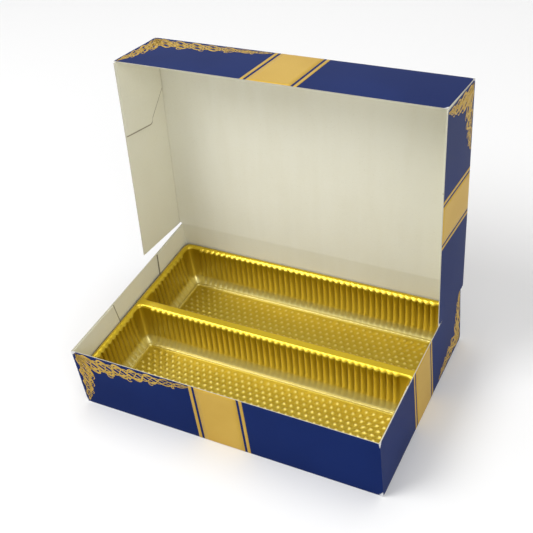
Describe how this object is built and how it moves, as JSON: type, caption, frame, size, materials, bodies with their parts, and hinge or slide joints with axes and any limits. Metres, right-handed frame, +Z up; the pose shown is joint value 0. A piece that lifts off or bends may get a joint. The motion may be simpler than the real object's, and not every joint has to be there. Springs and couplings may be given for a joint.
{
  "type": "sweet box",
  "caption": "Folding board sweet box with a full-depth hinged lid and a formed tray with long fluted compartments",
  "frame": {"origin": "middle of the base's underside, on the table", "axes": "+X to the right along the front, +Y to the back where the lid is hinged, +Z up; the lid stands open by 97 degrees"},
  "size_m": [0.25, 0.183, 0.2275],
  "materials": {
    "printed_board": "deep blue print with gold ornament outside, cream board inside",
    "plain_board": "uncoated cream board",
    "tray_sheet": "gold-coloured glossy formed sheet"
  },
  "bodies": {
    "base": {"base_floor": "printed_board", "base_front_wall": "printed_board", "base_left_wall": "printed_board", "base_right_wall": "printed_board", "back_wall": "printed_board", "base_front_left_tab": "plain_board", "base_front_right_tab": "plain_board", "base_back_left_tab": "plain_board", "base_back_right_tab": "plain_board", "sweet_tray": "tray_sheet"},
    "lid": {"lid_top_panel": "printed_board", "lid_front_wall": "printed_board", "lid_left_wall": "printed_board", "lid_right_wall": "printed_board", "lid_left_tab": "plain_board", "lid_right_tab": "plain_board"}
  },
  "joints": [
    {"name": "lid_crease", "type": "hinge", "parent": "base", "child": "lid", "pos_m": [0, 0.0812, 0.056], "axis": [-1, 0, 0], "range_deg": [-97, 101]}
  ]
}
